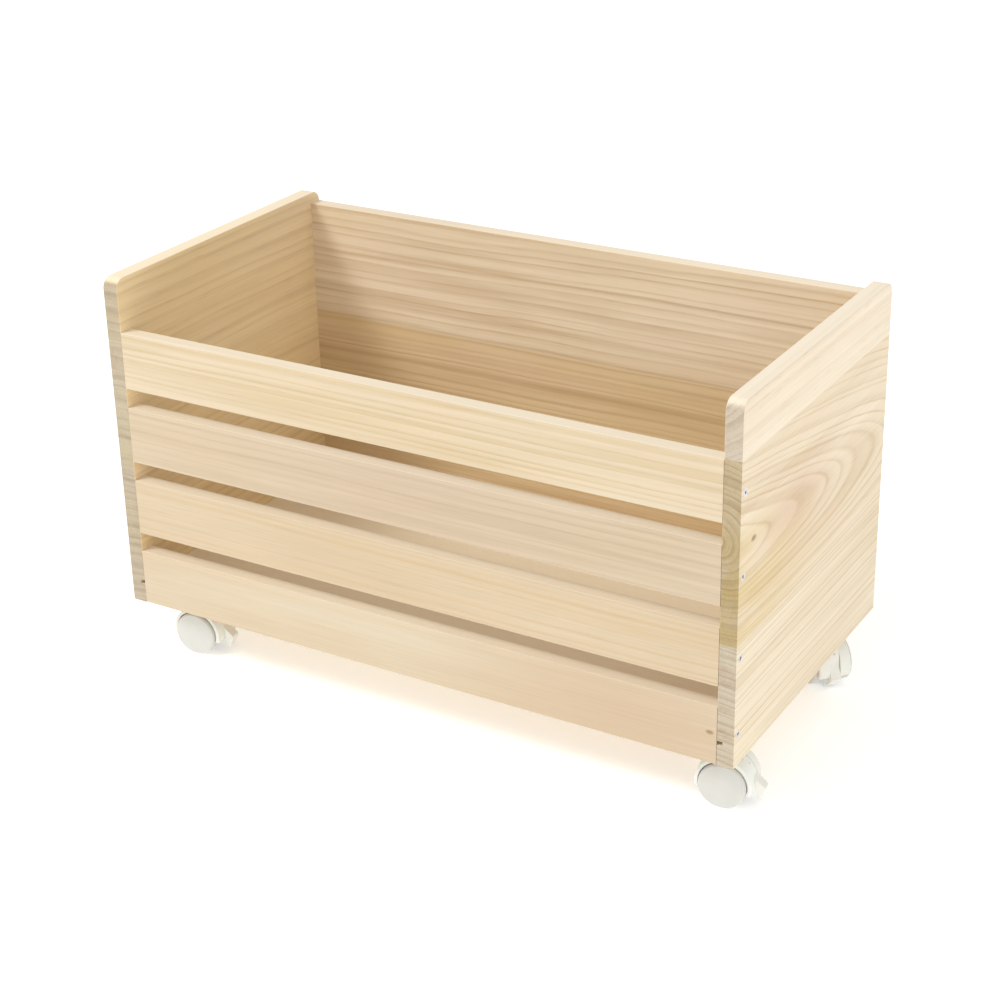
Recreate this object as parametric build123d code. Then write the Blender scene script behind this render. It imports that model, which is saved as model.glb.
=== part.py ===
from build123d import *
from math import cos, radians, sin, sqrt
import os

# Slatted wooden storage box on four braked twin-wheel casters, in millimetres.
# Origin: centre of the footprint, on the floor. +X right and -Y front (the slatted side), +Z up.

# ---- box -------------------------------------------------------------------------------------
BOX_WIDTH = 600.0            # across both end panels
BOX_DEPTH = 302.0
END_HEIGHT = 310.0
BOX_BOTTOM = 50.0            # height of the casters
END_THICKNESS = 15.0
SLAT_THICKNESS = 14.0
BACK_THICKNESS = 14.0
BACK_DROP = 10.0             # the back stops this far below the tops of the ends
TOP_CORNER_RADIUS = 10.0     # top front and top rear corners of each end panel
EDGE_ROUNDING = 0.9          # sanded edges
SLAT_HEIGHT = 52.0
SLAT_GAP = 18.0
SLAT_COUNT = 4

# Glue joints, as heights above the bottom of the box.
LEFT_END_JOINTS = (135.0, 226.0)
RIGHT_END_JOINTS = (108.0, 263.0)
BACK_JOINTS = (95.0, 190.0)

# ---- bottom panel in its grooves, and the caster battens below it --------------------------------
BOTTOM_THICKNESS = 4.0
GROOVE_HEIGHT = 4.2
GROOVE_DEPTH = 5.2
PANEL_PLAY = 0.2             # between the panel's edge and the groove's end
BATTEN_WIDTH = 45.0
BATTEN_HEIGHT = 18.0

# ---- fasteners ---------------------------------------------------------------------------------
SLAT_SCREW = dict(head_diameter=7.5, shank_diameter=3.5, length=35.0)
BATTEN_SCREW = dict(head_diameter=6.5, shank_diameter=3.0, length=16.0)
PLATE_SCREW = dict(head_diameter=6.4, shank_diameter=3.5, length=14.0)
COUNTERSINK_HEIGHT = 2.2
PAN_HEAD_HEIGHT = 2.0
PAN_HEAD_ROUNDING = 1.2
HEAD_RIM = 0.4               # straight rim of a countersunk head
SCREW_POINT = 1.5            # length of the point, in shank diameters
SCREW_TIP = 0.3
RECESS_WIDTH = 0.9           # cross recess
RECESS_SPAN = 3.6
RECESS_DEPTH = 1.3
SCREW_INSET = 7.0            # slat screws, from the front edge of the end panel
LOWEST_SCREW_RISE = 3.0      # above the middle of the lowest slat, to miss its groove
BATTEN_SCREW_PLACES = (-60.0, 0.0, 60.0)
DOWEL_DIAMETER = 6.0
DOWEL_EDGE = 0.6
DOWEL_IN_END = 10.0
DOWEL_IN_BACK = 20.0
DOWEL_HEIGHTS = (50.0, 160.0, 250.0)

# ---- casters -----------------------------------------------------------------------------------
CASTER_X = 263.5             # swivel axis, from the middle of the box
CASTER_FRONT_INSET = 31.0    # swivel axis, from the front face
CASTER_REAR_INSET = 44.0     # swivel axis, from the rear face
TRAIL = 17.5                 # axle behind the swivel axis
WHEEL_RADIUS = 20.0
WHEEL_INNER = 8.0            # inner side of a wheel's rim, from the caster's middle plane
WHEEL_OUTER = 19.0           # crown of its outer face
WHEEL_CROWN = 0.8            # how far the outer face falls away towards the rim
WHEEL_EDGE_RADIUS = 2.0
WHEEL_INNER_EDGE = 0.6
WHEEL_FACE_THICKNESS = 2.6
WHEEL_RIM_THICKNESS = 2.4
HUB_RADIUS = 5.0
HUB_PLAY = 0.2
AXLE_RADIUS = 2.0
AXLE_HALF_LENGTH = 16.2
RUNNING_CLEARANCE = 0.05

PLATE_SIZE = 36.0
PLATE_THICKNESS = 2.0
PLATE_CORNER = 5.0
PLATE_EDGE = 0.3
PLATE_HOLE_PITCH = 26.0
KINGPIN_RADIUS = 3.0
KINGPIN_HEAD_RADIUS = 4.0
KINGPIN_HEAD_HEIGHT = 2.0
KINGPIN_HEAD_TOP = 24.0
KINGPIN_POCKET_RADIUS = 4.3
SWIVEL_PLAY = 0.2
BOSS_RADIUS = 5.7
BOSS_ROUNDING = 0.8
PIN_EDGE = 0.4               # bevel on the ends of pins and axles

HOOD_RADIUS = 23.8
HOOD_BORE = 20.8             # inside the hood, over the wheel
HOOD_HALF_WIDTH = 15.0
HOOD_ROUNDING = 1.4
WEB_HALF_WIDTH = 7.4
FRONT_LIP_HEIGHT = 15.0      # above the floor
REAR_LIP_HEIGHT = 13.6

LEVER_HALF_WIDTH = 4.8
LEVER_SLOT_HALF_WIDTH = 5.0
LEVER_SLOT_START = 12.2      # behind the axle
LEVER_FLUSH_RADIUS = 23.6    # the lever's back, about the axle, where it lies in the hood
LEVER_KNEE_ANGLE = 16.0      # where the flush part ends, above the level of the axle
LEVER_BARREL_RADIUS = 2.6    # of the lever's axle side, about its hinge pin
LEVER_BARREL_START = 220.0   # where it leaves the straight inside of the tab
PIVOT_RADIUS = 18.5          # hinge pin, from the axle
PIVOT_ANGLE = 35.0
LEVER_PIN_RADIUS = 1.2
LEVER_PIN_SUNK = 0.2         # below the sides of the web
LEVER_SIDE_ROUNDING = 0.5
# The lever's tab, from its tip round its foot to its heel: distances behind the axle, and heights.
LEVER_TAB = [(32.4, 18.0), (32.6, 16.4), (28.4, 6.2), (27.4, 5.6), (26.6, 6.4), (25.6, 13.6), (19.5, 21.5)]
LEVER_DIMPLE_ANGLE = 42.0
LEVER_DIMPLE_RADIUS = 1.1
LEVER_DIMPLE_DEPTH = 0.8
LEVER_STROKE = 22.0          # degrees from released to braked

# Swivel angle of each caster (from +X to the line from its swivel axis to its axle), and whether
# its brake lever is pressed in.
CASTERS = {
    "front_left": dict(side=-1, end=-1, angle=5.0, braked=False),
    "front_right": dict(side=1, end=-1, angle=7.5, braked=False),
    "rear_left": dict(side=-1, end=1, angle=187.5, braked=False),
    "rear_right": dict(side=1, end=1, angle=-42.0, braked=True),
}

# ---- derived places ----------------------------------------------------------------------------
HALF_WIDTH = BOX_WIDTH / 2
HALF_DEPTH = BOX_DEPTH / 2
INNER_X = HALF_WIDTH - END_THICKNESS
SLAT_INNER_Y = -HALF_DEPTH + SLAT_THICKNESS
BACK_INNER_Y = HALF_DEPTH - BACK_THICKNESS
GROOVE_BOTTOM = BOX_BOTTOM + BATTEN_HEIGHT
SLAT_PITCH = SLAT_HEIGHT + SLAT_GAP


def block(x, y, z):
    """A box given by its (low, high) pair along each axis."""
    size = [high - low for low, high in (x, y, z)]
    centre = [(high + low) / 2 for low, high in (x, y, z)]
    return Pos(*centre) * Box(*size)


def across(radius, half_length, x=0.0, z=0.0):
    """A cylinder along Y, centred on the caster's middle plane."""
    return Pos(x, 0, z) * Rot(90, 0, 0) * Cylinder(radius, 2 * half_length)


def upright(radius, low, high, x=0.0, y=0.0):
    """A vertical cylinder between two heights."""
    return Pos(x, y, (low + high) / 2) * Cylinder(radius, high - low)


def cross_recess(top):
    """The two crossed slots in a screw head whose top face is at this height."""
    slot = Pos(0, 0, top) * Box(RECESS_SPAN, RECESS_WIDTH, 2 * RECESS_DEPTH)
    return slot + Rot(0, 0, 90) * slot


def countersunk_screw(head_diameter, shank_diameter, length):
    """A wood screw along -Z, its flat head's top flush with the wood at z = 0, without its recess."""
    head, shank = head_diameter / 2, shank_diameter / 2
    point_start = SCREW_POINT * shank_diameter - length
    outline = Polyline(
        (0, 0), (head, 0), (head, -HEAD_RIM), (shank, -COUNTERSINK_HEIGHT),
        (shank, point_start), (SCREW_TIP, -length), (0, -length), close=True,
    )
    return revolve(Plane.XZ * make_face(outline), Axis.Z)


def pan_head_screw(head_diameter, shank_diameter, length):
    """A pan-head screw that points up, with the underside of its head at z = 0."""
    shank = shank_diameter / 2
    point_start = length - SCREW_POINT * shank_diameter
    outline = Polyline(
        (0, length), (SCREW_TIP, length), (shank, point_start), (shank, 0), (0, 0), close=True
    )
    head = Pos(0, 0, -PAN_HEAD_HEIGHT / 2) * Cylinder(head_diameter / 2, PAN_HEAD_HEIGHT)
    head = fillet(head.edges().sort_by(Axis.Z)[0], PAN_HEAD_ROUNDING)
    return revolve(Plane.XZ * make_face(outline), Axis.Z) + head


def cut_all(piece, tools):
    for tool in tools:
        piece = piece - tool
    return piece


# ---- fasteners in the box ------------------------------------------------------------------------
def slat_middle(index):
    """Height of the middle of a front slat, counted from the lowest."""
    return BOX_BOTTOM + SLAT_HEIGHT / 2 + index * SLAT_PITCH


def slat_screw_blanks():
    blanks = []
    for side in (-1, 1):
        for index in range(SLAT_COUNT):
            height = slat_middle(index) + (LOWEST_SCREW_RISE if index == 0 else 0)
            place = Pos(side * HALF_WIDTH, -HALF_DEPTH + SCREW_INSET, height)
            blanks.append(place * Rot(0, side * 90, 0) * countersunk_screw(**SLAT_SCREW))
    return blanks


def batten_screw_blanks():
    top = GROOVE_BOTTOM + BOTTOM_THICKNESS
    middle = INNER_X - BATTEN_WIDTH / 2
    return [
        Pos(side * middle, y, top) * countersunk_screw(**BATTEN_SCREW)
        for side in (-1, 1) for y in BATTEN_SCREW_PLACES
    ]


def plate_corners(caster):
    """The four screw places of a caster's mounting plate, on the plan."""
    x, y = swivel_place(caster)
    half = PLATE_HOLE_PITCH / 2
    return [(x + dx, y + dy) for dx in (-half, half) for dy in (-half, half)]


def plate_screw_blanks():
    bottom = BOX_BOTTOM - PLATE_THICKNESS
    return [
        Pos(x, y, bottom) * pan_head_screw(**PLATE_SCREW)
        for caster in CASTERS.values() for x, y in plate_corners(caster)
    ]


def dowels():
    length = DOWEL_IN_END + DOWEL_IN_BACK
    middle = INNER_X + (DOWEL_IN_END - DOWEL_IN_BACK) / 2
    rod = chamfer(Cylinder(DOWEL_DIAMETER / 2, length).edges(), DOWEL_EDGE)
    return [
        Pos(side * middle, HALF_DEPTH - BACK_THICKNESS / 2, BOX_BOTTOM + height) * Rot(0, 90, 0) * rod
        for side in (-1, 1) for height in DOWEL_HEIGHTS
    ]


# ---- wooden pieces -------------------------------------------------------------------------------
def end_panel(side, cuts):
    """One end panel, with rounded top corners, eased edges and the groove for the bottom."""
    outline = Rectangle(BOX_DEPTH, END_HEIGHT, align=(Align.CENTER, Align.MIN))
    outline = fillet(outline.vertices().group_by(Axis.Y)[-1], TOP_CORNER_RADIUS)
    panel = extrude(Plane.YZ * outline, END_THICKNESS)
    start = INNER_X if side > 0 else -HALF_WIDTH
    panel = Pos(start, 0, BOX_BOTTOM) * fillet(
        panel.edges().group_by(Axis.X)[0] + panel.edges().group_by(Axis.X)[-1], EDGE_ROUNDING
    )
    groove = block(
        sorted((side * (INNER_X - 1), side * (INNER_X + GROOVE_DEPTH))),
        (-HALF_DEPTH - 1, HALF_DEPTH + 1),
        (GROOVE_BOTTOM, GROOVE_BOTTOM + GROOVE_HEIGHT),
    )
    return cut_all(panel, [groove] + cuts)


def boards(panel, joints):
    """Cut an edge-glued panel into its boards, from the lowest up."""
    heights = [0.0, *joints, END_HEIGHT]
    span_x = (-HALF_WIDTH - 1, HALF_WIDTH + 1)
    span_y = (-HALF_DEPTH - 1, HALF_DEPTH + 1)
    return [
        panel & block(span_x, span_y, (BOX_BOTTOM + low, BOX_BOTTOM + high))
        for low, high in zip(heights, heights[1:])
    ]


def front_slat(index, cuts):
    """A front slat, counted from the lowest, which alone has a groove for the bottom."""
    low = slat_middle(index) - SLAT_HEIGHT / 2
    slat = block((-INNER_X, INNER_X), (-HALF_DEPTH, SLAT_INNER_Y), (low, low + SLAT_HEIGHT))
    slat = fillet(slat.edges().filter_by(Axis.X), EDGE_ROUNDING)
    if index == 0:
        cuts = cuts + [block(
            (-INNER_X - 1, INNER_X + 1),
            (SLAT_INNER_Y - GROOVE_DEPTH, SLAT_INNER_Y + 1),
            (GROOVE_BOTTOM, GROOVE_BOTTOM + GROOVE_HEIGHT),
        )]
    return cut_all(slat, cuts)


def back_panel(cuts):
    height = END_HEIGHT - BACK_DROP
    back = block((-INNER_X, INNER_X), (BACK_INNER_Y, HALF_DEPTH), (BOX_BOTTOM, BOX_BOTTOM + height))
    back = fillet(back.edges().filter_by(Axis.X), EDGE_ROUNDING)
    groove = block(
        (-INNER_X - 1, INNER_X + 1),
        (BACK_INNER_Y - 1, BACK_INNER_Y + GROOVE_DEPTH),
        (GROOVE_BOTTOM, GROOVE_BOTTOM + GROOVE_HEIGHT),
    )
    return cut_all(back, [groove] + cuts)


def bottom_panel(cuts):
    reach = GROOVE_DEPTH - PANEL_PLAY
    panel = block(
        (-INNER_X - reach, INNER_X + reach),
        (SLAT_INNER_Y - reach, BACK_INNER_Y + reach),
        (GROOVE_BOTTOM, GROOVE_BOTTOM + BOTTOM_THICKNESS),
    )
    return cut_all(panel, cuts)


def caster_batten(side, cuts):
    """The bar under the bottom panel that one end's casters are screwed to."""
    batten = block(
        sorted((side * INNER_X, side * (INNER_X - BATTEN_WIDTH))),
        (SLAT_INNER_Y, BACK_INNER_Y),
        (BOX_BOTTOM, GROOVE_BOTTOM),
    )
    return cut_all(batten, cuts)


# ---- caster pieces: x runs from the swivel axis to the axle, y along the axle, z up from the floor --
def swivel_place(caster):
    y = -HALF_DEPTH + CASTER_FRONT_INSET if caster["end"] < 0 else HALF_DEPTH - CASTER_REAR_INSET
    return caster["side"] * CASTER_X, y


def behind_axle(distance, height):
    """A point of a caster's profile, given behind the axle and above the floor."""
    return Vector(TRAIL + distance, height)


def about_axle(radius, angle):
    """A point of a caster's profile, given round the axle; 0 degrees points straight behind it."""
    return behind_axle(radius * cos(radians(angle)), WHEEL_RADIUS + radius * sin(radians(angle)))


PIVOT = about_axle(PIVOT_RADIUS, PIVOT_ANGLE)


def mounting_plate():
    plate = RectangleRounded(PLATE_SIZE, PLATE_SIZE, PLATE_CORNER)
    plate = Pos(0, 0, BOX_BOTTOM - PLATE_THICKNESS) * extrude(plate, PLATE_THICKNESS)
    plate = chamfer(plate.edges().group_by(Axis.Z)[0], PLATE_EDGE)
    return plate - upright(KINGPIN_RADIUS, 0, BOX_BOTTOM + 1)


def kingpin():
    low = KINGPIN_HEAD_TOP - KINGPIN_HEAD_HEIGHT
    head = upright(KINGPIN_HEAD_RADIUS, low, KINGPIN_HEAD_TOP)
    head = chamfer(head.edges().sort_by(Axis.Z)[0], PIN_EDGE)
    return upright(KINGPIN_RADIUS, low + KINGPIN_HEAD_HEIGHT / 2, BOX_BOTTOM) + head


def hood_outline():
    """Side profile of the housing: a drum about the axle, open below between two lips."""
    front_drop = WHEEL_RADIUS - FRONT_LIP_HEIGHT
    rear_drop = WHEEL_RADIUS - REAR_LIP_HEIGHT
    front_lip = behind_axle(-sqrt(HOOD_RADIUS**2 - front_drop**2), FRONT_LIP_HEIGHT)
    rear_lip = behind_axle(sqrt(HOOD_RADIUS**2 - rear_drop**2), REAR_LIP_HEIGHT)
    crown = behind_axle(0, WHEEL_RADIUS + HOOD_RADIUS)
    return make_face(Curve() + [ThreePointArc(front_lip, crown, rear_lip), Line(rear_lip, front_lip)])


def housing():
    """Hood, central web and swivel boss in one moulding, open below over each wheel."""
    body = extrude(Plane.XZ * hood_outline(), HOOD_HALF_WIDTH, both=True)
    sides = body.edges().group_by(Axis.Y)
    body = fillet(sides[0] + sides[-1], HOOD_ROUNDING)
    well_width = HOOD_HALF_WIDTH - WEB_HALF_WIDTH + 1
    for side in (-1, 1):
        well = across(HOOD_BORE, well_width / 2, TRAIL, WHEEL_RADIUS)
        body = body - Pos(0, side * (WEB_HALF_WIDTH + well_width / 2), 0) * well
    boss_top = BOX_BOTTOM - PLATE_THICKNESS - SWIVEL_PLAY
    boss = upright(BOSS_RADIUS, KINGPIN_HEAD_TOP, boss_top)
    body = body + fillet(boss.edges().sort_by(Axis.Z)[-1], BOSS_ROUNDING)
    slot = block(
        (TRAIL + LEVER_SLOT_START, TRAIL + 2 * HOOD_RADIUS),
        (-LEVER_SLOT_HALF_WIDTH, LEVER_SLOT_HALF_WIDTH),
        (0, BOX_BOTTOM),
    )
    bore = upright(KINGPIN_RADIUS + RUNNING_CLEARANCE, 0, BOX_BOTTOM)
    pocket = upright(KINGPIN_POCKET_RADIUS, 0, KINGPIN_HEAD_TOP + SWIVEL_PLAY)
    axle_hole = across(AXLE_RADIUS, HOOD_RADIUS, TRAIL, WHEEL_RADIUS)
    pin_hole = across(LEVER_PIN_RADIUS, WEB_HALF_WIDTH, PIVOT.X, PIVOT.Y)
    return cut_all(body, [slot, bore, pocket, axle_hole, pin_hole])


def axle():
    rod = across(AXLE_RADIUS, AXLE_HALF_LENGTH, TRAIL, WHEEL_RADIUS)
    return chamfer(rod.edges().filter_by(GeomType.CIRCLE), PIN_EDGE)


def wheel(side):
    """A dished wheel: crowned outer face, rounded shoulder, hollow inner side and a blind hub."""
    face_inner = WHEEL_OUTER - WHEEL_FACE_THICKNESS
    shoulder_radius = WHEEL_RADIUS - WHEEL_EDGE_RADIUS
    shoulder_face = WHEEL_OUTER - WHEEL_CROWN
    shoulder_side = shoulder_face - WHEEL_EDGE_RADIUS
    half_crown = WHEEL_OUTER - WHEEL_CROWN / 4
    cavity_radius = WHEEL_RADIUS - WHEEL_RIM_THICKNESS
    bevel = WHEEL_INNER_EDGE
    bore = AXLE_RADIUS + RUNNING_CLEARANCE
    bore_end = AXLE_HALF_LENGTH + HUB_PLAY
    hub_face = WEB_HALF_WIDTH + HUB_PLAY
    arc_middle = WHEEL_EDGE_RADIUS * sqrt(0.5)
    outline = Curve() + [
        ThreePointArc((0, WHEEL_OUTER), (shoulder_radius / 2, half_crown), (shoulder_radius, shoulder_face)),
        ThreePointArc(
            (shoulder_radius, shoulder_face),
            (shoulder_radius + arc_middle, shoulder_side + arc_middle),
            (WHEEL_RADIUS, shoulder_side),
        ),
        Polyline(
            (WHEEL_RADIUS, shoulder_side), (WHEEL_RADIUS, WHEEL_INNER + bevel),
            (WHEEL_RADIUS - bevel, WHEEL_INNER),
            (cavity_radius, WHEEL_INNER), (cavity_radius, face_inner), (HUB_RADIUS, face_inner),
            (HUB_RADIUS, hub_face), (bore, hub_face), (bore, bore_end), (0, bore_end), (0, WHEEL_OUTER),
        ),
    ]
    turned = revolve(make_face(outline), Axis.Y)
    if side < 0:
        turned = mirror(turned, Plane.XZ)
    return Pos(TRAIL, 0, WHEEL_RADIUS) * turned


def about_pivot(angle):
    """A point of the lever's rounded axle side, about its hinge pin."""
    place = Vector(cos(radians(angle)), sin(radians(angle)))
    return PIVOT + place * LEVER_BARREL_RADIUS


def lever_outline():
    """Side profile of the brake lever, released: flush with the hood above, its tab standing out."""
    barrel_end = about_pivot(180)
    top_rise = sqrt(LEVER_FLUSH_RADIUS**2 - (barrel_end.X - TRAIL) ** 2)
    top = Vector(barrel_end.X, WHEEL_RADIUS + top_rise)
    middle = about_axle(LEVER_FLUSH_RADIUS, LEVER_DIMPLE_ANGLE)
    knee = about_axle(LEVER_FLUSH_RADIUS, LEVER_KNEE_ANGLE)
    tab = [behind_axle(*place) for place in LEVER_TAB]
    barrel_start = about_pivot(LEVER_BARREL_START)
    barrel_middle = about_pivot((LEVER_BARREL_START + 180) / 2)
    return make_face(Curve() + [
        ThreePointArc(top, middle, knee),
        Polyline(knee, *tab, barrel_start),
        ThreePointArc(barrel_start, barrel_middle, barrel_end),
        Line(barrel_end, top),
    ])


def brake_lever(braked):
    lever = extrude(Plane.XZ * lever_outline(), LEVER_HALF_WIDTH, both=True)
    sides = lever.edges().group_by(Axis.Y)
    lever = fillet(sides[0] + sides[-1], LEVER_SIDE_ROUNDING)
    dimple = about_axle(LEVER_FLUSH_RADIUS, LEVER_DIMPLE_ANGLE)
    dimple_cut = Cylinder(LEVER_DIMPLE_RADIUS, 2 * LEVER_DIMPLE_DEPTH)
    dimple_cut = Pos(dimple.X, 0, dimple.Y) * Rot(0, 90 - LEVER_DIMPLE_ANGLE, 0) * dimple_cut
    pin_hole = across(LEVER_PIN_RADIUS + RUNNING_CLEARANCE, HOOD_RADIUS, PIVOT.X, PIVOT.Y)
    lever = cut_all(lever, [dimple_cut, pin_hole])
    if braked:
        lever = lever.rotate(Axis((PIVOT.X, 0, PIVOT.Y), (0, 1, 0)), LEVER_STROKE)
    return lever


def lever_pin():
    return across(LEVER_PIN_RADIUS, WEB_HALF_WIDTH - LEVER_PIN_SUNK, PIVOT.X, PIVOT.Y)


def caster_pieces(caster):
    pieces = {
        "mounting_plate": mounting_plate(),
        "kingpin": kingpin(),
        "housing": housing(),
        "axle": axle(),
        "left_wheel": wheel(-1),
        "right_wheel": wheel(1),
        "brake_lever": brake_lever(caster["braked"]),
        "lever_pin": lever_pin(),
    }
    fixed = ("mounting_plate", "kingpin")
    x, y = swivel_place(caster)
    return {
        name: Pos(x, y, 0) * Rot(0, 0, 0 if name in fixed else caster["angle"]) * piece
        for name, piece in pieces.items()
    }


# ---- assembly ------------------------------------------------------------------------------------
def with_recess(blanks, place_recess):
    """Cut the cross recess into each screw; place_recess moves a recess from z = 0 to that screw."""
    return [blank - place_recess(index) for index, blank in enumerate(blanks)]


def slat_screws(blanks):
    def recess(index):
        side = -1 if index < SLAT_COUNT else 1
        row = index % SLAT_COUNT
        height = slat_middle(row) + (LOWEST_SCREW_RISE if row == 0 else 0)
        place = Pos(side * HALF_WIDTH, -HALF_DEPTH + SCREW_INSET, height)
        return place * Rot(0, side * 90, 0) * Rot(0, 0, 20 * index) * cross_recess(0)
    return with_recess(blanks, recess)


def batten_screws(blanks):
    top = GROOVE_BOTTOM + BOTTOM_THICKNESS
    places = [(side * (INNER_X - BATTEN_WIDTH / 2), y) for side in (-1, 1) for y in BATTEN_SCREW_PLACES]
    return with_recess(blanks, lambda index: Pos(*places[index], top) * cross_recess(0))


def plate_screws(blanks):
    bottom = BOX_BOTTOM - PLATE_THICKNESS - PAN_HEAD_HEIGHT
    places = [place for caster in CASTERS.values() for place in plate_corners(caster)]
    return with_recess(blanks, lambda index: Pos(*places[index], bottom) * cross_recess(0))


def build():
    slat_blanks = slat_screw_blanks()
    batten_blanks = batten_screw_blanks()
    plate_blanks = plate_screw_blanks()
    dowel_rods = dowels()

    nodes = {}
    for side, name, joints in ((-1, "left", LEFT_END_JOINTS), (1, "right", RIGHT_END_JOINTS)):
        own_screws = slat_blanks[:SLAT_COUNT] if side < 0 else slat_blanks[SLAT_COUNT:]
        own_dowels = [rod for rod in dowel_rods if rod.center().X * side > 0]
        panel = end_panel(side, own_screws + own_dowels)
        for level, board in zip(("lower", "middle", "top"), boards(panel, joints)):
            nodes[f"{name}_end_{level}_board"] = board
        own_battens = [screw for screw in batten_blanks + plate_blanks if screw.center().X * side > 0]
        nodes[f"{name}_caster_batten"] = caster_batten(side, own_battens)

    for index in range(SLAT_COUNT):
        name = f"front_slat_{SLAT_COUNT - index}"
        nodes[name] = front_slat(index, [slat_blanks[index], slat_blanks[SLAT_COUNT + index]])
    for level, board in zip(("lower", "middle", "top"), boards(back_panel(dowel_rods), BACK_JOINTS)):
        nodes[f"back_{level}_board"] = board
    nodes["bottom_panel"] = bottom_panel(batten_blanks)

    nodes["slat_screws"] = Compound(children=slat_screws(slat_blanks))
    nodes["batten_screws"] = Compound(children=batten_screws(batten_blanks))
    nodes["caster_plate_screws"] = Compound(children=plate_screws(plate_blanks))
    nodes["back_dowels"] = Compound(children=dowel_rods)

    for corner, caster in CASTERS.items():
        for piece_name, piece in caster_pieces(caster).items():
            if piece_name == "mounting_plate":
                piece = cut_all(piece, plate_blanks)
            nodes[f"{corner}_{piece_name}"] = piece
    return nodes


os.makedirs("parts", exist_ok=True)
for node, shape in build().items():
    export_step(shape, f"parts/{node}.step")
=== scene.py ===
import math

import bpy
from mathutils import Matrix, Vector

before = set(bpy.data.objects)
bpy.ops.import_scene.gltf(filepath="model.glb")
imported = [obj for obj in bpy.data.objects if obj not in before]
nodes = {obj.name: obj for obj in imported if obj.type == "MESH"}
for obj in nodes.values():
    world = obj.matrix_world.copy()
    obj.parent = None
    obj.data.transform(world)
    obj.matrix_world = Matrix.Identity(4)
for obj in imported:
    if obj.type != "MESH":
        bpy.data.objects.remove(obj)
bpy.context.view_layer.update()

# ---- camera, light and floor ---------------------------------------------------------------------
CAMERA_PLACE = Vector((0.848, -1.413, 0.9294))
CAMERA_AZIMUTH = math.radians(30.57)      # from straight on to the slatted front, towards the right end
CAMERA_ELEVATION = math.radians(23.47)
CAMERA_ROLL = math.radians(-1.07)
CAMERA_LENS = 73.9
CAMERA_SHIFT = (-0.0093, -0.0628)
CAMERA_CLIP = (0.05, 50.0)
SENSOR = 36.0

WORLD_COLOUR = (1.0, 0.995, 0.985)
WORLD_STRENGTH = 0.73
# Square softboxes: their side in metres and power in watts.
KEY = dict(place=(-1.4, -1.6, 2.5), aim=(0, 0, 0.2), side=0.9, power=44.0)
FILL = dict(place=(2.6, -1.0, 1.2), aim=(0.2, 0, 0.2), side=2.4, power=12.0)

FLOOR_COLOUR = (0.95, 0.95, 0.95)
FLOOR_ROUGHNESS = 0.9
FLOOR_SPECULAR = 0.1
FLOOR_GLOW = 0.34                         # lifts the floor to plain white around the box
FLOOR_REACH = 8.0


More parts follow.
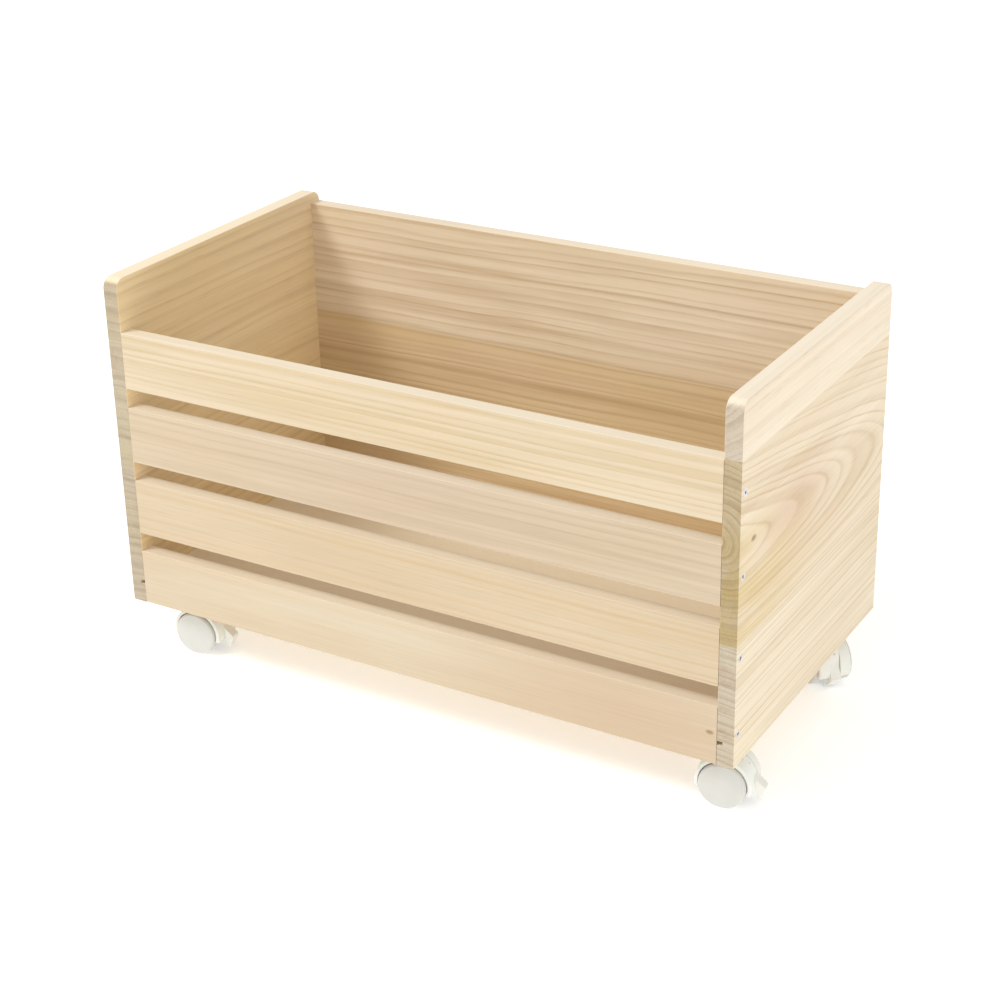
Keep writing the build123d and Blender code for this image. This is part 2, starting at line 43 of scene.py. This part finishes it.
class Graph:
    """A short way to write a material's nodes. A value is a number, a tuple or another node's output."""

    def __init__(self, material):
        material.use_nodes = True
        self.tree = material.node_tree
        self.tree.nodes.clear()

    def node(self, kind, **settings):
        made = self.tree.nodes.new(kind)
        for key, value in settings.items():
            setattr(made, key, value)
        return made

    def feed(self, socket, value):
        if isinstance(value, bpy.types.NodeSocket):
            self.tree.links.new(value, socket)
        elif value is not None:
            if isinstance(value, tuple) and len(value) == 3 and socket.type == "RGBA":
                value = (*value, 1.0)
            socket.default_value = value

    def math(self, operation, a, b=None, c=None):
        made = self.node("ShaderNodeMath", operation=operation)
        for socket, value in zip(made.inputs, (a, b, c)):
            self.feed(socket, value)
        return made.outputs[0]

    def add(self, *terms):
        total = terms[0]
        for term in terms[1:]:
            total = self.math("ADD", total, term)
        return total

    def times(self, *factors):
        product = factors[0]
        for factor in factors[1:]:
            product = self.math("MULTIPLY", product, factor)
        return product

    def centred(self, value, reach):
        """A 0 to 1 noise turned into one from -reach to +reach."""
        return self.math("MULTIPLY_ADD", value, 2.0 * reach, -reach)

    def vector(self, x, y, z):
        made = self.node("ShaderNodeCombineXYZ")
        for socket, value in zip(made.inputs, (x, y, z)):
            self.feed(socket, value)
        return made.outputs[0]

    def split(self, vector):
        made = self.node("ShaderNodeSeparateXYZ")
        self.feed(made.inputs[0], vector)
        return made.outputs

    def noise(self, vector, scale, seed, detail=2.0, roughness=0.5):
        """0 to 1 noise with its scale in cycles per metre, one number for each axis."""
        moved = self.node("ShaderNodeVectorMath", operation="MULTIPLY_ADD")
        for socket, value in zip(moved.inputs, (vector, scale, (seed, 1.7 * seed, 2.3 * seed))):
            self.feed(socket, value)
        made = self.node("ShaderNodeTexNoise")
        self.feed(made.inputs["Vector"], moved.outputs[0])
        self.feed(made.inputs["Scale"], 1.0)
        self.feed(made.inputs["Detail"], detail)
        self.feed(made.inputs["Roughness"], roughness)
        return made.outputs[0]

    def line_noise(self, value, scale, seed):
        """Noise along one number."""
        made = self.node("ShaderNodeTexNoise", noise_dimensions="1D")
        self.feed(made.inputs["W"], self.math("MULTIPLY_ADD", value, scale, seed))
        self.feed(made.inputs["Scale"], 1.0)
        self.feed(made.inputs["Detail"], 1.0)
        return made.outputs[0]

    def random(self, value, seed):
        made = self.node("ShaderNodeTexWhiteNoise", noise_dimensions="1D")
        self.feed(made.inputs["W"], self.math("ADD", value, seed))
        return made.outputs["Value"]

    def ramp(self, value, stops):
        """An eased ramp. stops are (place, grey level) pairs."""
        made = self.node("ShaderNodeValToRGB")
        ramp = made.color_ramp
        ramp.interpolation = "EASE"
        while len(ramp.elements) < len(stops):
            ramp.elements.new(0.5)
        for element, (place, level) in zip(ramp.elements, stops):
            element.position = place
            element.color = (level, level, level, 1.0)
        self.feed(made.inputs[0], value)
        return made.outputs[0]

    def step(self, value, low, high):
        """Smooth 0 to 1 as value goes from low to high."""
        made = self.node("ShaderNodeMapRange", interpolation_type="SMOOTHSTEP")
        for name, number in (("Value", value), ("From Min", low), ("From Max", high)):
            self.feed(made.inputs[name], number)
        return made.outputs[0]

    def mix(self, factor, a, b, blend="MIX"):
        made = self.node("ShaderNodeMix", data_type="RGBA", blend_type=blend)
        self.feed(made.inputs["Factor"], factor)
        self.feed(made.inputs[6], a)
        self.feed(made.inputs[7], b)
        return made.outputs[2]

    def darkened(self, colour, level):
        """colour times a grey level."""
        return self.mix(1.0, colour, self.vector(level, level, level), "MULTIPLY")

    def distance(self, along, height, place, stretch):
        """How far a point of a board is from a place on it. A length along the grain counts stretch times."""
        da = self.times(self.math("SUBTRACT", along, place[0]), stretch)
        dh = self.math("SUBTRACT", height, place[1])
        return self.math("SQRT", self.add(self.times(da, da), self.times(dh, dh)))

    def nearness(self, along, height, place, size):
        """1 at a place on a board, falling to 0 this far from it, and twice as far along the grain."""
        away = self.distance(along, height, place, 0.5)
        return self.math("SUBTRACT", 1.0, self.step(away, 0.0, size))

    def bump(self, height, distance, strength):
        made = self.node("ShaderNodeBump")
        self.feed(made.inputs["Strength"], strength)
        self.feed(made.inputs["Distance"], distance)
        self.feed(made.inputs["Height"], height)
        return made.outputs[0]

    def shade(self, colour, roughness, normal=None, **constants):
        shader = self.node("ShaderNodeBsdfPrincipled")
        self.feed(shader.inputs["Base Color"], colour)
        self.feed(shader.inputs["Roughness"], roughness)
        self.feed(shader.inputs["Normal"], normal)
        for name, value in constants.items():
            shader.inputs[name.replace("_", " ")].default_value = value
        output = self.node("ShaderNodeOutputMaterial")
        self.tree.links.new(shader.outputs[0], output.inputs[0])


# ---- wood ----------------------------------------------------------------------------------------
CREAM = (0.80, 0.665, 0.465)
PALE = (0.85, 0.73, 0.545)
PINKISH = (0.765, 0.585, 0.415)
TAN = (0.60, 0.435, 0.25)
GREY_TAN = (0.50, 0.385, 0.26)
STAIN = (0.74, 0.585, 0.285)
BROWN = (0.52, 0.35, 0.18)
KNOT = (0.33, 0.20, 0.10)
# Painted highlight: the pale cream that faces which look up are blended toward, standing in for the light
# that falls on them from above.
PAINTED_TOP_HIGHLIGHT = (0.93, 0.83, 0.67)
# End grain is the board's own colour times one of these.
END_GRAIN = (0.645, 0.64, 0.645)
END_GRAIN_GREY = (0.585, 0.62, 0.71)
END_GRAIN_OLIVE = (0.59, 0.56, 0.47)
# Painted shade: the boards whose faces lie inside the box, the left end and the two lower boards of the back,
# get a darker, more golden colour for the shade in there.
SHADED_INSIDE = dict(
    light=(0.88, 0.71, 0.435), mid=(0.83, 0.645, 0.37), line=BROWN, streaks=0.16,
    end_tint=END_GRAIN_GREY,
)
# painted shade: the back's two lower boards are darker and more golden than its top board
SHADED_BACK = dict(light=(0.77, 0.605, 0.375), mid=(0.70, 0.525, 0.30), line=BROWN, streaks=0.5)

# The noises in the wood. scale is in cycles per metre, along the grain and across it; seed is added to
# the board's own; fade gives the two noise values between which the effect comes in.
WOOD_NOISE = {
    "drift": dict(scale=(2.2, 9.0), seed=0.0),
    "side_drift": dict(scale=(2.6, 7.0), seed=11.0, detail=1.0),
    "ripple": dict(scale=(9.0, 38.0), seed=5.0),
    "line_fading": dict(scale=(3.0, 45.0), seed=3.0, fade=(0.30, 0.62)),
    "band": dict(scale=(1.6, 60.0), seed=7.0, detail=4.0, roughness=0.62),
    "fibre": dict(scale=(10.0, 520.0), seed=9.0, detail=3.0, roughness=0.65),
    "pore": dict(scale=(38.0, 950.0), seed=13.0, detail=1.0, fade=(0.60, 0.74)),
    "tone": dict(scale=(3.0, 13.0), seed=17.0, detail=3.0, fade=(0.30, 0.70)),
    "patch": dict(scale=(4.0, 16.0), seed=21.0, detail=3.0, fade=(0.46, 0.68)),
    "blot": dict(scale=(8.0, 30.0), seed=25.0, detail=3.0, fade=(0.32, 0.62)),
    "speck": dict(scale=(800.0, 800.0), seed=31.0),
}
RIPPLE_SHARE = 0.16                       # of the rings' wander
RING_UNEVENNESS = 0.75                    # how far a ring strays from its even place, in rings
UNEVENNESS_SCALE = 0.63                   # in cycles per ring
# How dark a ring is from its inner edge to its outer one.
RING_PROFILE = [(0.0, 0.85), (0.10, 1.0), (0.24, 0.42), (0.50, 0.10), (0.80, 0.02), (1.0, 0.85)]
BAND_FADE = (0.48, 0.74)
FACE_IS_END = (0.55, 0.98)                # of the normal's part along the grain
TOP_HIGHLIGHT_FADE = (0.5, 0.95)                 # of the normal's upward part, over which the painted highlight on faces that look up comes in
KNOT_STRETCH = 0.55
KNOT_PULL = 1.6                           # how far a knot pushes the rings away, in its sizes
KNOT_FALL = 0.45                          # how fast that dies away, in each of its sizes
KNOT_EDGE = (0.25, 0.75)                  # its dark spot's edge, in its sizes
WOOD_ROUGHNESS = 0.51
RELIEF_DEPTH = 0.00035
RELIEF_STRENGTH = 0.5


def wood_noise(g, place, board_seed, kind):
    """One of the noises in WOOD_NOISE as it runs through one board."""
    settings = dict(WOOD_NOISE[kind])
    along, across = settings.pop("scale")
    fade = settings.pop("fade", None)
    seed = board_seed + settings.pop("seed")
    value = g.noise(place, (along, across, across), seed, **settings)
    return g.step(value, *fade) if fade else value


def grow_rings(g, place, parts, seed, pith, lean, spacing, wander, knots):
    """The rings about a pith. Gives the number of rings out from it, how dark each ring is on its own,
    how dark the lines are with uneven rings that fade here and there, and the knots' dark spots."""
    along, height, depth = parts
    drift, side_drift, ripple = (
        wood_noise(g, place, seed, kind) for kind in ("drift", "side_drift", "ripple")
    )
    h = g.add(
        g.math("SUBTRACT", height, pith[0]), g.times(along, lean[0]),
        g.centred(drift, wander), g.centred(ripple, wander * RIPPLE_SHARE),
    )
    d = g.add(g.math("SUBTRACT", depth, pith[1]), g.times(along, lean[1]), g.centred(side_drift, wander))
    knot_shade = 0.0
    for *knot_place, size in knots:
        away = g.distance(along, height, knot_place, KNOT_STRETCH)
        pull = g.math("EXPONENT", g.times(away, -KNOT_FALL / size))
        h = g.add(h, g.times(pull, size * KNOT_PULL))
        spot = g.math("SUBTRACT", 1.0, g.step(away, size * KNOT_EDGE[0], size * KNOT_EDGE[1]))
        knot_shade = g.math("MAXIMUM", knot_shade, spot)
    radius = g.math("SQRT", g.add(g.times(h, h), g.times(d, d)))

    turns = g.times(radius, 1.0 / spacing)
    rings = g.add(turns, g.centred(g.line_noise(turns, UNEVENNESS_SCALE, seed), RING_UNEVENNESS))
    ring = g.ramp(g.math("FRACT", rings), RING_PROFILE)
    ring_weight = g.math("MULTIPLY_ADD", g.random(g.math("FLOOR", rings), seed), 0.60, 0.40)
    fading = g.math("MULTIPLY_ADD", wood_noise(g, place, seed, "line_fading"), 0.45, 0.55)
    return rings, ring, g.times(ring, ring_weight, fading), knot_shade


def end_grain(g, place, seed, colour, rings, lines, tint):
    """A board's colour on its sawn ends: finer rings, specks and a darker tint."""
    fine_ring = g.step(g.math("FRACT", g.times(rings, 3.0)), 0.55, 1.0)
    end_lines = g.math("MAXIMUM", lines, g.times(fine_ring, 0.5))
    tinted = g.mix(1.0, g.mix(g.times(end_lines, 0.5), colour, GREY_TAN), tint, "MULTIPLY")
    speck = wood_noise(g, place, seed, "speck")
    return g.darkened(tinted, g.math("MULTIPLY_ADD", speck, 0.30, 0.85))


def wood(
    name, grain="x", seed=0.0, pith=(-0.30, 0.02), lean=(0.0, 0.0), spacing=0.006, wander=0.006,
    light=PALE, mid=CREAM, line=TAN, contrast=0.55, streaks=0.5, patch=PINKISH, patch_amount=0.35,
    patch_place=None, patch_size=0.1, stain=None, end_tint=END_GRAIN, knots=(),
):
    """Sawn wood cut out of a log: growth rings about a pith, which show as lines, arches or end grain
    wherever a face happens to cut them.

    grain is the axis that the fibres run along. pith is where the log's centre lies, in height and depth
    from the origin, and lean is how far it drifts per metre of length. patch_place is a place along the
    grain and a height; a stain and each of the knots is such a place and a size. Sizes are in metres."""
    material = bpy.data.materials.new(name)
    g = Graph(material)
    coordinates = g.node("ShaderNodeTexCoord")
    x, y, height = g.split(coordinates.outputs["Object"])
    facing_x, facing_y, facing_up = g.split(coordinates.outputs["Normal"])
    along, depth, facing_end = (x, y, facing_x) if grain == "x" else (y, x, facing_y)
    place = g.vector(along, height, depth)
    rings, ring, lines, knot_shade = grow_rings(
        g, place, (along, height, depth), seed, pith, lean, spacing, wander, knots
    )
    band, fibre, pore, tone, patches = (
        wood_noise(g, place, seed, kind) for kind in ("band", "fibre", "pore", "tone", "patch")
    )

    colour = g.mix(tone, light, mid)
    patches = g.times(patches, patch_amount)
    if patch_place:
        near = g.nearness(along, height, patch_place, patch_size)
        patches = g.math("MAXIMUM", g.times(patches, 0.4), g.times(near, 0.85))
    colour = g.mix(patches, colour, patch)
    if stain:
        *stain_place, stain_size = stain
        near = g.nearness(along, height, stain_place, stain_size)
        colour = g.mix(g.times(near, wood_noise(g, place, seed, "blot"), 1.1), colour, STAIN)
    colour = g.mix(g.times(g.step(band, *BAND_FADE), streaks), colour, line)
    colour = g.mix(g.times(lines, contrast), colour, line)
    pores = g.times(pore, g.math("MULTIPLY_ADD", ring, 0.5, 0.15))
    colour = g.mix(g.times(pores, 0.5), colour, GREY_TAN)
    colour = g.darkened(colour, g.math("MULTIPLY_ADD", fibre, 0.22, 0.89))
    if knots:
        colour = g.mix(g.times(knot_shade, 0.8), colour, KNOT)
    end = g.step(g.math("ABSOLUTE", facing_end), *FACE_IS_END)
    colour = g.mix(end, colour, end_grain(g, place, seed, colour, rings, lines, end_tint))
    # painted highlight: faces that look up are blended about halfway to a pale cream, for the light from
    # above
    colour = g.mix(g.times(g.step(facing_up, *TOP_HIGHLIGHT_FADE), 0.55), colour, PAINTED_TOP_HIGHLIGHT)

    relief = g.add(g.times(lines, -0.5), g.times(fibre, 0.5), g.times(pores, -0.6), g.times(band, 0.4))
    normal = g.bump(relief, RELIEF_DEPTH, RELIEF_STRENGTH)
    rough = g.add(g.times(lines, 0.06), g.times(fibre, 0.10), WOOD_ROUGHNESS)
    g.shade(colour, rough, normal, Specular_IOR_Level=0.32)
    return material


# ---- nylon and zinc ------------------------------------------------------------------------------
WHITE = (0.87, 0.875, 0.82)
WHEEL_WHITE = (0.645, 0.65, 0.61)
NYLON_WARMTH = (0.985, 0.972, 0.95)       # the warmer tone is the colour times this
NYLON_CLOUD_SCALE = (70.0, 70.0, 70.0)
NYLON_GRIT_SCALE = (2600.0, 2600.0, 2600.0)
NYLON_RELIEF = 0.00004
ZINC_LIGHT = (0.74, 0.74, 0.73)
ZINC_DARK = (0.60, 0.61, 0.62)
ZINC_CLOUD_SCALE = (240.0, 240.0, 240.0)
ZINC_SCRATCH_SCALE = (900.0, 108.0, 900.0)
ZINC_RELIEF = 0.00003


def nylon(name, seed, colour):
    """Off-white moulded nylon with a faint mould texture."""
    material = bpy.data.materials.new(name)
    g = Graph(material)
    place = g.node("ShaderNodeTexCoord").outputs["Object"]
    cloud = g.noise(place, NYLON_CLOUD_SCALE, seed, detail=3.0)
    grit = g.noise(place, NYLON_GRIT_SCALE, seed + 3.0)
    warm = tuple(c * w for c, w in zip(colour, NYLON_WARMTH))
    tint = g.mix(g.step(cloud, 0.35, 0.70), colour, warm)
    rough = g.math("MULTIPLY_ADD", cloud, 0.12, 0.34)
    normal = g.bump(g.add(grit, g.times(cloud, 2.0)), NYLON_RELIEF, 0.35)
    g.shade(tint, rough, normal, Specular_IOR_Level=0.45, Subsurface_Weight=0.12, Subsurface_Scale=0.004)
    return material


def zinc(name):
    """Bright zinc plate with fine brushed variation."""
    material = bpy.data.materials.new(name)
    g = Graph(material)
    place = g.node("ShaderNodeTexCoord").outputs["Object"]
    cloud = g.noise(place, ZINC_CLOUD_SCALE, seed=2.0, detail=3.0)
    scratch = g.noise(place, ZINC_SCRATCH_SCALE, seed=6.0)
    tint = g.mix(g.step(cloud, 0.3, 0.7), ZINC_LIGHT, ZINC_DARK)
    rough = g.math("MULTIPLY_ADD", scratch, 0.25, 0.22)
    g.shade(tint, rough, g.bump(scratch, ZINC_RELIEF, 0.4), Metallic=1.0)
    return material


# ---- the pieces' materials -----------------------------------------------------------------------
BOARDS = {
    "front_slat_1": dict(
        seed=1.0, pith=(-0.02, -0.10), spacing=0.0072, wander=0.004, contrast=0.85,
        line=(0.54, 0.40, 0.20), light=(0.69, 0.58, 0.42), mid=(0.655, 0.53, 0.36), streaks=0.40,
        patch_amount=0.10,
    ),
    "front_slat_2": dict(
        seed=2.0, pith=(-0.10, -0.22), spacing=0.0080, wander=0.007, contrast=0.70, line=GREY_TAN,
        light=(0.655, 0.55, 0.405), mid=(0.60, 0.48, 0.33), streaks=0.70, patch=(0.565, 0.44, 0.315),
        patch_amount=0.25, patch_place=(0.0, 0.225), patch_size=0.13,
    ),
    "front_slat_3": dict(
        seed=3.0, pith=(-0.20, -0.12), spacing=0.0066, wander=0.005, contrast=0.90, line=TAN,
        light=(0.625, 0.515, 0.36), mid=(0.585, 0.465, 0.31), streaks=0.50, patch_amount=0.15,
    ),
    "front_slat_4": dict(
        seed=4.0, pith=(0.07, -0.42), spacing=0.011, wander=0.006, contrast=0.32, line=TAN,
        light=(0.66, 0.565, 0.42), mid=(0.62, 0.51, 0.355), streaks=0.30, patch=(0.58, 0.435, 0.29),
        patch_amount=0.70, patch_place=(0.20, 0.076), patch_size=0.11, knots=((0.279, 0.078, 0.0035),),
    ),
    "left_end_lower_board": dict(
        grain="y", seed=5.0, pith=(-0.12, -0.28), spacing=0.009, contrast=0.50, **SHADED_INSIDE,
    ),
    "left_end_middle_board": dict(
        grain="y", seed=6.0, pith=(0.05, -0.30), spacing=0.012, wander=0.011, contrast=0.42, **SHADED_INSIDE,
    ),
    "left_end_top_board": dict(
        grain="y", seed=7.0, pith=(0.62, -0.29), spacing=0.012, wander=0.010, contrast=0.40, **SHADED_INSIDE,
    ),
    "right_end_lower_board": dict(
        grain="y", seed=8.0, pith=(-0.16, 0.27), spacing=0.0058, wander=0.004, contrast=0.66,
        light=(0.88, 0.78, 0.60), mid=(0.82, 0.70, 0.51), streaks=0.45, patch_amount=0.10,
    ),
    "right_end_middle_board": dict(
        grain="y", seed=9.0, pith=(0.232, 0.262), lean=(0.10, 0.14), spacing=0.0062, wander=0.009,
        contrast=0.70, line=(0.58, 0.40, 0.22), light=(0.86, 0.75, 0.575), mid=(0.81, 0.68, 0.49),
        streaks=0.25, patch=(0.735, 0.55, 0.395), patch_amount=0.25, patch_place=(-0.045, 0.235),
        patch_size=0.055, stain=(-0.150, 0.200, 0.085), end_tint=END_GRAIN_OLIVE,
        knots=((-0.126, 0.241, 0.0045),),
    ),
    "right_end_top_board": dict(
        grain="y", seed=10.0, pith=(0.40, 0.24), spacing=0.009, wander=0.006, contrast=0.26,
        light=(0.90, 0.79, 0.63), mid=(0.86, 0.74, 0.57), streaks=0.20, patch_amount=0.15,
    ),
    "back_lower_board": dict(seed=11.0, pith=(-0.20, 0.16), spacing=0.0068, contrast=0.85, **SHADED_BACK),
    "back_middle_board": dict(
        seed=12.0, pith=(-0.08, 0.20), spacing=0.0078, wander=0.009, contrast=0.85, **SHADED_BACK,
    ),
    "back_top_board": dict(
        seed=13.0, pith=(0.75, 0.17), spacing=0.0085, wander=0.010, contrast=0.65, patch_amount=0.3,
        light=(0.89, 0.775, 0.60), mid=(0.80, 0.655, 0.46), line=BROWN, streaks=0.5,
    ),
    "bottom_panel": dict(
        seed=14.0, pith=(-0.9, 0.10), spacing=0.016, wander=0.015, contrast=0.20, streaks=0.20,
        light=(0.80, 0.67, 0.46), mid=(0.75, 0.60, 0.40), patch_amount=0.05,
    ),
    "left_caster_batten": dict(grain="y", seed=15.0, pith=(-0.2, -0.25), spacing=0.007),
    "right_caster_batten": dict(grain="y", seed=16.0, pith=(-0.2, 0.28), spacing=0.006),
    "back_dowels": dict(seed=17.0, pith=(-0.1, 0.14), spacing=0.004, contrast=0.3),
}


def dress(node, material):
    mesh = nodes[node].data
    mesh.materials.clear()
    mesh.materials.append(material)


for board, grown in BOARDS.items():
    dress(board, wood(f"wood_{board}", **grown))

white = nylon("white_nylon", seed=0.0, colour=WHITE)
tread = nylon("wheel_nylon", seed=5.0, colour=WHEEL_WHITE)
steel = zinc("zinc_plate")
for node in nodes:
    if node in BOARDS:
        continue
    if node.endswith("wheel"):
        dress(node, tread)
    else:
        dress(node, white if node.endswith(("housing", "lever")) else steel)


# ---- stage ---------------------------------------------------------------------------------------
def make_floor():
    mesh = bpy.data.meshes.new("floor")
    r = FLOOR_REACH
    mesh.from_pydata([(-r, -r, 0), (r, -r, 0), (r, r, 0), (-r, r, 0)], [], [(0, 1, 2, 3)])
    floor = bpy.data.objects.new("floor", mesh)
    bpy.context.scene.collection.objects.link(floor)
    material = bpy.data.materials.new("floor_paint")
    glow = dict(Emission_Color=(1.0, 1.0, 1.0, 1.0), Emission_Strength=FLOOR_GLOW)
    Graph(material).shade(FLOOR_COLOUR, FLOOR_ROUGHNESS, Specular_IOR_Level=FLOOR_SPECULAR, **glow)
    mesh.materials.append(material)


def softbox(name, place, aim, side, power):
    light = bpy.data.lights.new(name, "AREA")
    light.shape = "RECTANGLE"
    light.size = light.size_y = side
    light.energy = power
    lamp = bpy.data.objects.new(name, light)
    bpy.context.scene.collection.objects.link(lamp)
    lamp.location = place
    lamp.rotation_mode = "QUATERNION"
    lamp.rotation_quaternion = (Vector(aim) - Vector(place)).to_track_quat("-Z", "Y")


def make_camera():
    camera = bpy.data.objects.new("camera", bpy.data.cameras.new("camera"))
    bpy.context.scene.collection.objects.link(camera)
    camera.data.sensor_width = SENSOR
    camera.data.lens = CAMERA_LENS
    camera.data.shift_x, camera.data.shift_y = CAMERA_SHIFT
    camera.data.clip_start, camera.data.clip_end = CAMERA_CLIP
    a, e = CAMERA_AZIMUTH, CAMERA_ELEVATION
    back = Vector((math.sin(a) * math.cos(e), -math.cos(a) * math.cos(e), math.sin(e)))
    level = Vector((0, 0, 1)).cross(back).normalized()
    upward = back.cross(level)
    right = level * math.cos(CAMERA_ROLL) + upward * math.sin(CAMERA_ROLL)
    up = -level * math.sin(CAMERA_ROLL) + upward * math.cos(CAMERA_ROLL)
    turn = Matrix((right, up, back)).transposed()
    camera.matrix_world = Matrix.Translation(CAMERA_PLACE) @ turn.to_4x4()
    bpy.context.scene.camera = camera


def make_world():
    world = bpy.data.worlds.new("studio")
    world.use_nodes = True
    background = world.node_tree.nodes["Background"]
    background.inputs["Color"].default_value = (*WORLD_COLOUR, 1.0)
    background.inputs["Strength"].default_value = WORLD_STRENGTH
    bpy.context.scene.world = world


make_floor()
make_world()
make_camera()
bpy.context.scene.view_settings.view_transform = "Standard"
softbox("key", **KEY)
softbox("fill", **FILL)
